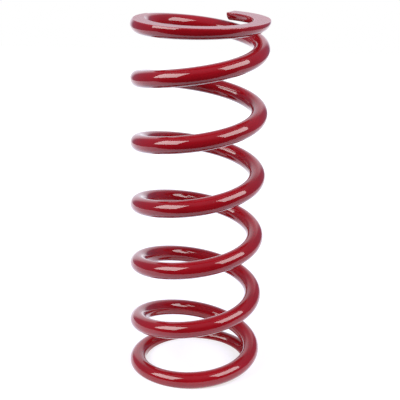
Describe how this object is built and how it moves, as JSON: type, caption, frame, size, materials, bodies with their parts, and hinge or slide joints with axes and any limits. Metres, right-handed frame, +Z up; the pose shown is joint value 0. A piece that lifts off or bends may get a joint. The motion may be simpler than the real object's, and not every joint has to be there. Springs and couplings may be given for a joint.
{
  "type": "coil spring",
  "caption": "Right-hand wound helical compression spring for a coil-over damper, with closed and ground ends and a gloss dark red coat.",
  "frame": {"origin": "on the spring's axis, in the plane of the bottom ground face", "axes": "+Z up along the spring's axis, from the bottom end coil to the top end coil; the bottom tip lies 7 degrees anticlockwise of +X seen from above"},
  "size_m": [0.0854, 0.0854, 0.2286],
  "materials": {
    "powder_coat": "gloss"
  },
  "bodies": {
    "bottom_end_coil": {"bottom_end_coil": "powder_coat"},
    "coil_1_arc_01": {"coil_1_arc_01": "powder_coat"},
    "coil_1_arc_02": {"coil_1_arc_02": "powder_coat"},
    "coil_1_arc_03": {"coil_1_arc_03": "powder_coat"},
    "coil_1_arc_04": {"coil_1_arc_04": "powder_coat"},
    "coil_1_arc_05": {"coil_1_arc_05": "powder_coat"},
    "coil_1_arc_06": {"coil_1_arc_06": "powder_coat"},
    "coil_1_arc_07": {"coil_1_arc_07": "powder_coat"},
    "coil_1_arc_08": {"coil_1_arc_08": "powder_coat"},
    "coil_1_arc_09": {"coil_1_arc_09": "powder_coat"},
    "coil_1_arc_10": {"coil_1_arc_10": "powder_coat"},
    "coil_2_arc_01": {"coil_2_arc_01": "powder_coat"},
    "coil_2_arc_02": {"coil_2_arc_02": "powder_coat"},
    "coil_2_arc_03": {"coil_2_arc_03": "powder_coat"},
    "coil_2_arc_04": {"coil_2_arc_04": "powder_coat"},
    "coil_2_arc_05": {"coil_2_arc_05": "powder_coat"},
    "coil_2_arc_06": {"coil_2_arc_06": "powder_coat"},
    "coil_2_arc_07": {"coil_2_arc_07": "powder_coat"},
    "coil_2_arc_08": {"coil_2_arc_08": "powder_coat"},
    "coil_2_arc_09": {"coil_2_arc_09": "powder_coat"},
    "coil_2_arc_10": {"coil_2_arc_10": "powder_coat"},
    "coil_3_arc_01": {"coil_3_arc_01": "powder_coat"},
    "coil_3_arc_02": {"coil_3_arc_02": "powder_coat"},
    "coil_3_arc_03": {"coil_3_arc_03": "powder_coat"},
    "coil_3_arc_04": {"coil_3_arc_04": "powder_coat"},
    "coil_3_arc_05": {"coil_3_arc_05": "powder_coat"},
    "coil_3_arc_06": {"coil_3_arc_06": "powder_coat"},
    "coil_3_arc_07": {"coil_3_arc_07": "powder_coat"},
    "coil_3_arc_08": {"coil_3_arc_08": "powder_coat"},
    "coil_3_arc_09": {"coil_3_arc_09": "powder_coat"},
    "coil_3_arc_10": {"coil_3_arc_10": "powder_coat"},
    "coil_4_arc_01": {"coil_4_arc_01": "powder_coat"},
    "coil_4_arc_02": {"coil_4_arc_02": "powder_coat"},
    "coil_4_arc_03": {"coil_4_arc_03": "powder_coat"},
    "coil_4_arc_04": {"coil_4_arc_04": "powder_coat"},
    "coil_4_arc_05": {"coil_4_arc_05": "powder_coat"},
    "coil_4_arc_06": {"coil_4_arc_06": "powder_coat"},
    "coil_4_arc_07": {"coil_4_arc_07": "powder_coat"},
    "coil_4_arc_08": {"coil_4_arc_08": "powder_coat"},
    "coil_4_arc_09": {"coil_4_arc_09": "powder_coat"},
    "coil_4_arc_10": {"coil_4_arc_10": "powder_coat"},
    "coil_5_arc_01": {"coil_5_arc_01": "powder_coat"},
    "coil_5_arc_02": {"coil_5_arc_02": "powder_coat"},
    "coil_5_arc_03": {"coil_5_arc_03": "powder_coat"},
    "coil_5_arc_04": {"coil_5_arc_04": "powder_coat"},
    "coil_5_arc_05": {"coil_5_arc_05": "powder_coat"},
    "coil_5_arc_06": {"coil_5_arc_06": "powder_coat"},
    "coil_5_arc_07": {"coil_5_arc_07": "powder_coat"},
    "coil_5_arc_08": {"coil_5_arc_08": "powder_coat"},
    "coil_5_arc_09": {"coil_5_arc_09": "powder_coat"},
    "coil_5_arc_10": {"coil_5_arc_10": "powder_coat"},
    "coil_6_arc_01": {"coil_6_arc_01": "powder_coat"},
    "coil_6_arc_02": {"coil_6_arc_02": "powder_coat"},
    "top_end_coil": {"top_end_coil": "powder_coat"}
  },
  "joints": [
    {"name": "compression", "type": "slide", "parent": "bottom_end_coil", "child": "top_end_coil", "axis": [0, 0, -1], "range_m": [0, 0.141], "stiffness_N_per_m": 57500},
    {"name": "coil_1_arc_01_sink", "type": "slide", "parent": "bottom_end_coil", "child": "coil_1_arc_01", "axis": [0, 0, -1], "range_m": [0, 0.00057]},
    {"name": "coil_1_arc_02_sink", "type": "slide", "parent": "bottom_end_coil", "child": "coil_1_arc_02", "axis": [0, 0, -1], "range_m": [0, 0.00198]},
    {"name": "coil_1_arc_03_sink", "type": "slide", "parent": "bottom_end_coil", "child": "coil_1_arc_03", "axis": [0, 0, -1], "range_m": [0, 0.00473]},
    {"name": "coil_1_arc_04_sink", "type": "slide", "parent": "bottom_end_coil", "child": "coil_1_arc_04", "axis": [0, 0, -1], "range_m": [0, 0.00755]},
    {"name": "coil_1_arc_05_sink", "type": "slide", "parent": "bottom_end_coil", "child": "coil_1_arc_05", "axis": [0, 0, -1], "range_m": [0, 0.01037]},
    {"name": "coil_1_arc_06_sink", "type": "slide", "parent": "bottom_end_coil", "child": "coil_1_arc_06", "axis": [0, 0, -1], "range_m": [0, 0.01319]},
    {"name": "coil_1_arc_07_sink", "type": "slide", "parent": "bottom_end_coil", "child": "coil_1_arc_07", "axis": [0, 0, -1], "range_m": [0, 0.01601]},
    {"name": "coil_1_arc_08_sink", "type": "slide", "parent": "bottom_end_coil", "child": "coil_1_arc_08", "axis": [0, 0, -1], "range_m": [0, 0.01883]},
    {"name": "coil_1_arc_09_sink", "type": "slide", "parent": "bottom_end_coil", "child": "coil_1_arc_09", "axis": [0, 0, -1], "range_m": [0, 0.02165]},
    {"name": "coil_1_arc_10_sink", "type": "slide", "parent": "bottom_end_coil", "child": "coil_1_arc_10", "axis": [0, 0, -1], "range_m": [0, 0.02447]},
    {"name": "coil_2_arc_01_sink", "type": "slide", "parent": "bottom_end_coil", "child": "coil_2_arc_01", "axis": [0, 0, -1], "range_m": [0, 0.02729]},
    {"name": "coil_2_arc_02_sink", "type": "slide", "parent": "bottom_end_coil", "child": "coil_2_arc_02", "axis": [0, 0, -1], "range_m": [0, 0.03011]},
    {"name": "coil_2_arc_03_sink", "type": "slide", "parent": "bottom_end_coil", "child": "coil_2_arc_03", "axis": [0, 0, -1], "range_m": [0, 0.03293]},
    {"name": "coil_2_arc_04_sink", "type": "slide", "parent": "bottom_end_coil", "child": "coil_2_arc_04", "axis": [0, 0, -1], "range_m": [0, 0.03575]},
    {"name": "coil_2_arc_05_sink", "type": "slide", "parent": "bottom_end_coil", "child": "coil_2_arc_05", "axis": [0, 0, -1], "range_m": [0, 0.03857]},
    {"name": "coil_2_arc_06_sink", "type": "slide", "parent": "bottom_end_coil", "child": "coil_2_arc_06", "axis": [0, 0, -1], "range_m": [0, 0.04139]},
    {"name": "coil_2_arc_07_sink", "type": "slide", "parent": "bottom_end_coil", "child": "coil_2_arc_07", "axis": [0, 0, -1], "range_m": [0, 0.04421]},
    {"name": "coil_2_arc_08_sink", "type": "slide", "parent": "bottom_end_coil", "child": "coil_2_arc_08", "axis": [0, 0, -1], "range_m": [0, 0.04703]},
    {"name": "coil_2_arc_09_sink", "type": "slide", "parent": "bottom_end_coil", "child": "coil_2_arc_09", "axis": [0, 0, -1], "range_m": [0, 0.04985]},
    {"name": "coil_2_arc_10_sink", "type": "slide", "parent": "bottom_end_coil", "child": "coil_2_arc_10", "axis": [0, 0, -1], "range_m": [0, 0.05267]},
    {"name": "coil_3_arc_01_sink", "type": "slide", "parent": "bottom_end_coil", "child": "coil_3_arc_01", "axis": [0, 0, -1], "range_m": [0, 0.05549]},
    {"name": "coil_3_arc_02_sink", "type": "slide", "parent": "bottom_end_coil", "child": "coil_3_arc_02", "axis": [0, 0, -1], "range_m": [0, 0.05831]},
    {"name": "coil_3_arc_03_sink", "type": "slide", "parent": "bottom_end_coil", "child": "coil_3_arc_03", "axis": [0, 0, -1], "range_m": [0, 0.06113]},
    {"name": "coil_3_arc_04_sink", "type": "slide", "parent": "bottom_end_coil", "child": "coil_3_arc_04", "axis": [0, 0, -1], "range_m": [0, 0.06395]},
    {"name": "coil_3_arc_05_sink", "type": "slide", "parent": "bottom_end_coil", "child": "coil_3_arc_05", "axis": [0, 0, -1], "range_m": [0, 0.06677]},
    {"name": "coil_3_arc_06_sink", "type": "slide", "parent": "bottom_end_coil", "child": "coil_3_arc_06", "axis": [0, 0, -1], "range_m": [0, 0.06959]},
    {"name": "coil_3_arc_07_sink", "type": "slide", "parent": "bottom_end_coil", "child": "coil_3_arc_07", "axis": [0, 0, -1], "range_m": [0, 0.07241]},
    {"name": "coil_3_arc_08_sink", "type": "slide", "parent": "bottom_end_coil", "child": "coil_3_arc_08", "axis": [0, 0, -1], "range_m": [0, 0.07523]},
    {"name": "coil_3_arc_09_sink", "type": "slide", "parent": "bottom_end_coil", "child": "coil_3_arc_09", "axis": [0, 0, -1], "range_m": [0, 0.07805]},
    {"name": "coil_3_arc_10_sink", "type": "slide", "parent": "bottom_end_coil", "child": "coil_3_arc_10", "axis": [0, 0, -1], "range_m": [0, 0.08087]},
    {"name": "coil_4_arc_01_sink", "type": "slide", "parent": "bottom_end_coil", "child": "coil_4_arc_01", "axis": [0, 0, -1], "range_m": [0, 0.08369]},
    {"name": "coil_4_arc_02_sink", "type": "slide", "parent": "bottom_end_coil", "child": "coil_4_arc_02", "axis": [0, 0, -1], "range_m": [0, 0.08651]},
    {"name": "coil_4_arc_03_sink", "type": "slide", "parent": "bottom_end_coil", "child": "coil_4_arc_03", "axis": [0, 0, -1], "range_m": [0, 0.08933]},
    {"name": "coil_4_arc_04_sink", "type": "slide", "parent": "bottom_end_coil", "child": "coil_4_arc_04", "axis": [0, 0, -1], "range_m": [0, 0.09215]},
    {"name": "coil_4_arc_05_sink", "type": "slide", "parent": "bottom_end_coil", "child": "coil_4_arc_05", "axis": [0, 0, -1], "range_m": [0, 0.09497]},
    {"name": "coil_4_arc_06_sink", "type": "slide", "parent": "bottom_end_coil", "child": "coil_4_arc_06", "axis": [0, 0, -1], "range_m": [0, 0.09779]},
    {"name": "coil_4_arc_07_sink", "type": "slide", "parent": "bottom_end_coil", "child": "coil_4_arc_07", "axis": [0, 0, -1], "range_m": [0, 0.10061]},
    {"name": "coil_4_arc_08_sink", "type": "slide", "parent": "bottom_end_coil", "child": "coil_4_arc_08", "axis": [0, 0, -1], "range_m": [0, 0.10343]},
    {"name": "coil_4_arc_09_sink", "type": "slide", "parent": "bottom_end_coil", "child": "coil_4_arc_09", "axis": [0, 0, -1], "range_m": [0, 0.10625]},
    {"name": "coil_4_arc_10_sink", "type": "slide", "parent": "bottom_end_coil", "child": "coil_4_arc_10", "axis": [0, 0, -1], "range_m": [0, 0.10907]},
    {"name": "coil_5_arc_01_sink", "type": "slide", "parent": "bottom_end_coil", "child": "coil_5_arc_01", "axis": [0, 0, -1], "range_m": [0, 0.11189]},
    {"name": "coil_5_arc_02_sink", "type": "slide", "parent": "bottom_end_coil", "child": "coil_5_arc_02", "axis": [0, 0, -1], "range_m": [0, 0.11471]},
    {"name": "coil_5_arc_03_sink", "type": "slide", "parent": "bottom_end_coil", "child": "coil_5_arc_03", "axis": [0, 0, -1], "range_m": [0, 0.11753]},
    {"name": "coil_5_arc_04_sink", "type": "slide", "parent": "bottom_end_coil", "child": "coil_5_arc_04", "axis": [0, 0, -1], "range_m": [0, 0.12035]},
    {"name": "coil_5_arc_05_sink", "type": "slide", "parent": "bottom_end_coil", "child": "coil_5_arc_05", "axis": [0, 0, -1], "range_m": [0, 0.12317]},
    {"name": "coil_5_arc_06_sink", "type": "slide", "parent": "bottom_end_coil", "child": "coil_5_arc_06", "axis": [0, 0, -1], "range_m": [0, 0.12599]},
    {"name": "coil_5_arc_07_sink", "type": "slide", "parent": "bottom_end_coil", "child": "coil_5_arc_07", "axis": [0, 0, -1], "range_m": [0, 0.12881]},
    {"name": "coil_5_arc_08_sink", "type": "slide", "parent": "bottom_end_coil", "child": "coil_5_arc_08", "axis": [0, 0, -1], "range_m": [0, 0.13163]},
    {"name": "coil_5_arc_09_sink", "type": "slide", "parent": "bottom_end_coil", "child": "coil_5_arc_09", "axis": [0, 0, -1], "range_m": [0, 0.13445]},
    {"name": "coil_5_arc_10_sink", "type": "slide", "parent": "bottom_end_coil", "child": "coil_5_arc_10", "axis": [0, 0, -1], "range_m": [0, 0.13727]},
    {"name": "coil_6_arc_01_sink", "type": "slide", "parent": "bottom_end_coil", "child": "coil_6_arc_01", "axis": [0, 0, -1], "range_m": [0, 0.14002]},
    {"name": "coil_6_arc_02_sink", "type": "slide", "parent": "bottom_end_coil", "child": "coil_6_arc_02", "axis": [0, 0, -1], "range_m": [0, 0.14143]}
  ],
  "couplings": [
    {"joint": "coil_1_arc_01_sink", "follows": "compression", "ratio": 0.000498},
    {"joint": "coil_1_arc_02_sink", "follows": "compression", "ratio": 0.010498},
    {"joint": "coil_1_arc_03_sink", "follows": "compression", "ratio": 0.03},
    {"joint": "coil_1_arc_04_sink", "follows": "compression", "ratio": 0.05},
    {"joint": "coil_1_arc_05_sink", "follows": "compression", "ratio": 0.07},
    {"joint": "coil_1_arc_06_sink", "follows": "compression", "ratio": 0.09},
    {"joint": "coil_1_arc_07_sink", "follows": "compression", "ratio": 0.11},
    {"joint": "coil_1_arc_08_sink", "follows": "compression", "ratio": 0.13},
    {"joint": "coil_1_arc_09_sink", "follows": "compression", "ratio": 0.15},
    {"joint": "coil_1_arc_10_sink", "follows": "compression", "ratio": 0.17},
    {"joint": "coil_2_arc_01_sink", "follows": "compression", "ratio": 0.19},
    {"joint": "coil_2_arc_02_sink", "follows": "compression", "ratio": 0.21},
    {"joint": "coil_2_arc_03_sink", "follows": "compression", "ratio": 0.23},
    {"joint": "coil_2_arc_04_sink", "follows": "compression", "ratio": 0.25},
    {"joint": "coil_2_arc_05_sink", "follows": "compression", "ratio": 0.27},
    {"joint": "coil_2_arc_06_sink", "follows": "compression", "ratio": 0.29},
    {"joint": "coil_2_arc_07_sink", "follows": "compression", "ratio": 0.31},
    {"joint": "coil_2_arc_08_sink", "follows": "compression", "ratio": 0.33},
    {"joint": "coil_2_arc_09_sink", "follows": "compression", "ratio": 0.35},
    {"joint": "coil_2_arc_10_sink", "follows": "compression", "ratio": 0.37},
    {"joint": "coil_3_arc_01_sink", "follows": "compression", "ratio": 0.39},
    {"joint": "coil_3_arc_02_sink", "follows": "compression", "ratio": 0.41},
    {"joint": "coil_3_arc_03_sink", "follows": "compression", "ratio": 0.43},
    {"joint": "coil_3_arc_04_sink", "follows": "compression", "ratio": 0.45},
    {"joint": "coil_3_arc_05_sink", "follows": "compression", "ratio": 0.47},
    {"joint": "coil_3_arc_06_sink", "follows": "compression", "ratio": 0.49},
    {"joint": "coil_3_arc_07_sink", "follows": "compression", "ratio": 0.51},
    {"joint": "coil_3_arc_08_sink", "follows": "compression", "ratio": 0.53},
    {"joint": "coil_3_arc_09_sink", "follows": "compression", "ratio": 0.55},
    {"joint": "coil_3_arc_10_sink", "follows": "compression", "ratio": 0.57},
    {"joint": "coil_4_arc_01_sink", "follows": "compression", "ratio": 0.59},
    {"joint": "coil_4_arc_02_sink", "follows": "compression", "ratio": 0.61},
    {"joint": "coil_4_arc_03_sink", "follows": "compression", "ratio": 0.63},
    {"joint": "coil_4_arc_04_sink", "follows": "compression", "ratio": 0.65},
    {"joint": "coil_4_arc_05_sink", "follows": "compression", "ratio": 0.67},
    {"joint": "coil_4_arc_06_sink", "follows": "compression", "ratio": 0.69},
    {"joint": "coil_4_arc_07_sink", "follows": "compression", "ratio": 0.71},
    {"joint": "coil_4_arc_08_sink", "follows": "compression", "ratio": 0.73},
    {"joint": "coil_4_arc_09_sink", "follows": "compression", "ratio": 0.75},
    {"joint": "coil_4_arc_10_sink", "follows": "compression", "ratio": 0.77},
    {"joint": "coil_5_arc_01_sink", "follows": "compression", "ratio": 0.79},
    {"joint": "coil_5_arc_02_sink", "follows": "compression", "ratio": 0.81},
    {"joint": "coil_5_arc_03_sink", "follows": "compression", "ratio": 0.83},
    {"joint": "coil_5_arc_04_sink", "follows": "compression", "ratio": 0.85},
    {"joint": "coil_5_arc_05_sink", "follows": "compression", "ratio": 0.87},
    {"joint": "coil_5_arc_06_sink", "follows": "compression", "ratio": 0.89},
    {"joint": "coil_5_arc_07_sink", "follows": "compression", "ratio": 0.91},
    {"joint": "coil_5_arc_08_sink", "follows": "compression", "ratio": 0.93},
    {"joint": "coil_5_arc_09_sink", "follows": "compression", "ratio": 0.95},
    {"joint": "coil_5_arc_10_sink", "follows": "compression", "ratio": 0.97},
    {"joint": "coil_6_arc_01_sink", "follows": "compression", "ratio": 0.9895},
    {"joint": "coil_6_arc_02_sink", "follows": "compression", "ratio": 0.9995}
  ]
}
